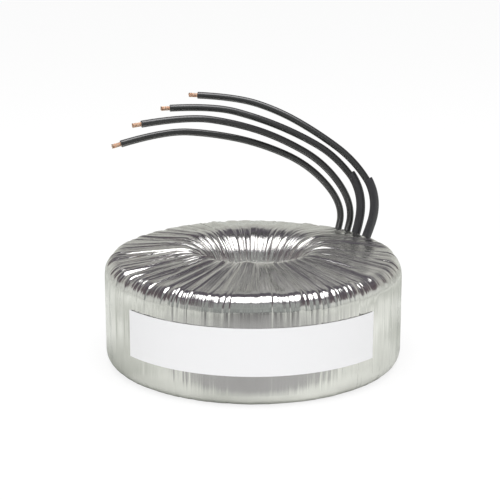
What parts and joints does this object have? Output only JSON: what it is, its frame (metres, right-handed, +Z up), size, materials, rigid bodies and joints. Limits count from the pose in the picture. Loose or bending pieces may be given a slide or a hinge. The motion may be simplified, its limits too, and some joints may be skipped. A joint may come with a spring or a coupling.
{
  "type": "high-voltage transformer",
  "caption": "Ring-shaped power transformer wrapped in lapped silvery film, with a blank paper label and black flying leads over the back.",
  "frame": {"origin": "centre of the underside of the wrapped ring", "axes": "+Z up along the axis of the hole; the label faces -Y; the leads come out at the back, +Y, and hang over to -X"},
  "size_m": [0.2, 0.2001, 0.1652],
  "materials": {
    "film": "silvery metallised film, lapped strips with radial folds",
    "label_paper": "plain white paper, smooth",
    "core_steel": "wound electrical steel strip",
    "core_tape": "cream insulating tape",
    "enamelled_copper": "enamelled copper wire",
    "winding_tape": "amber insulating tape",
    "lead_insulation": "black insulation, satin",
    "copper": "bared stranded copper",
    "solder": "soldered joint, dull",
    "sleeving": "dark grey sleeving, dull"
  },
  "bodies": {
    "root": {"outer_wrap": "film", "label": "label_paper", "core": "core_steel", "core_insulation": "core_tape", "primary_winding": "enamelled_copper", "interwinding_insulation": "winding_tape", "secondary_winding": "enamelled_copper", "lead_1": "lead_insulation", "lead_2": "lead_insulation", "lead_3": "lead_insulation", "lead_4": "lead_insulation", "conductor_1": "copper", "conductor_2": "copper", "conductor_3": "copper", "conductor_4": "copper", "solder_joint_1": "solder", "solder_joint_2": "solder", "solder_joint_3": "solder", "solder_joint_4": "solder", "sleeve_3": "sleeving", "sleeve_4": "sleeving"}
  },
  "joints": []
}
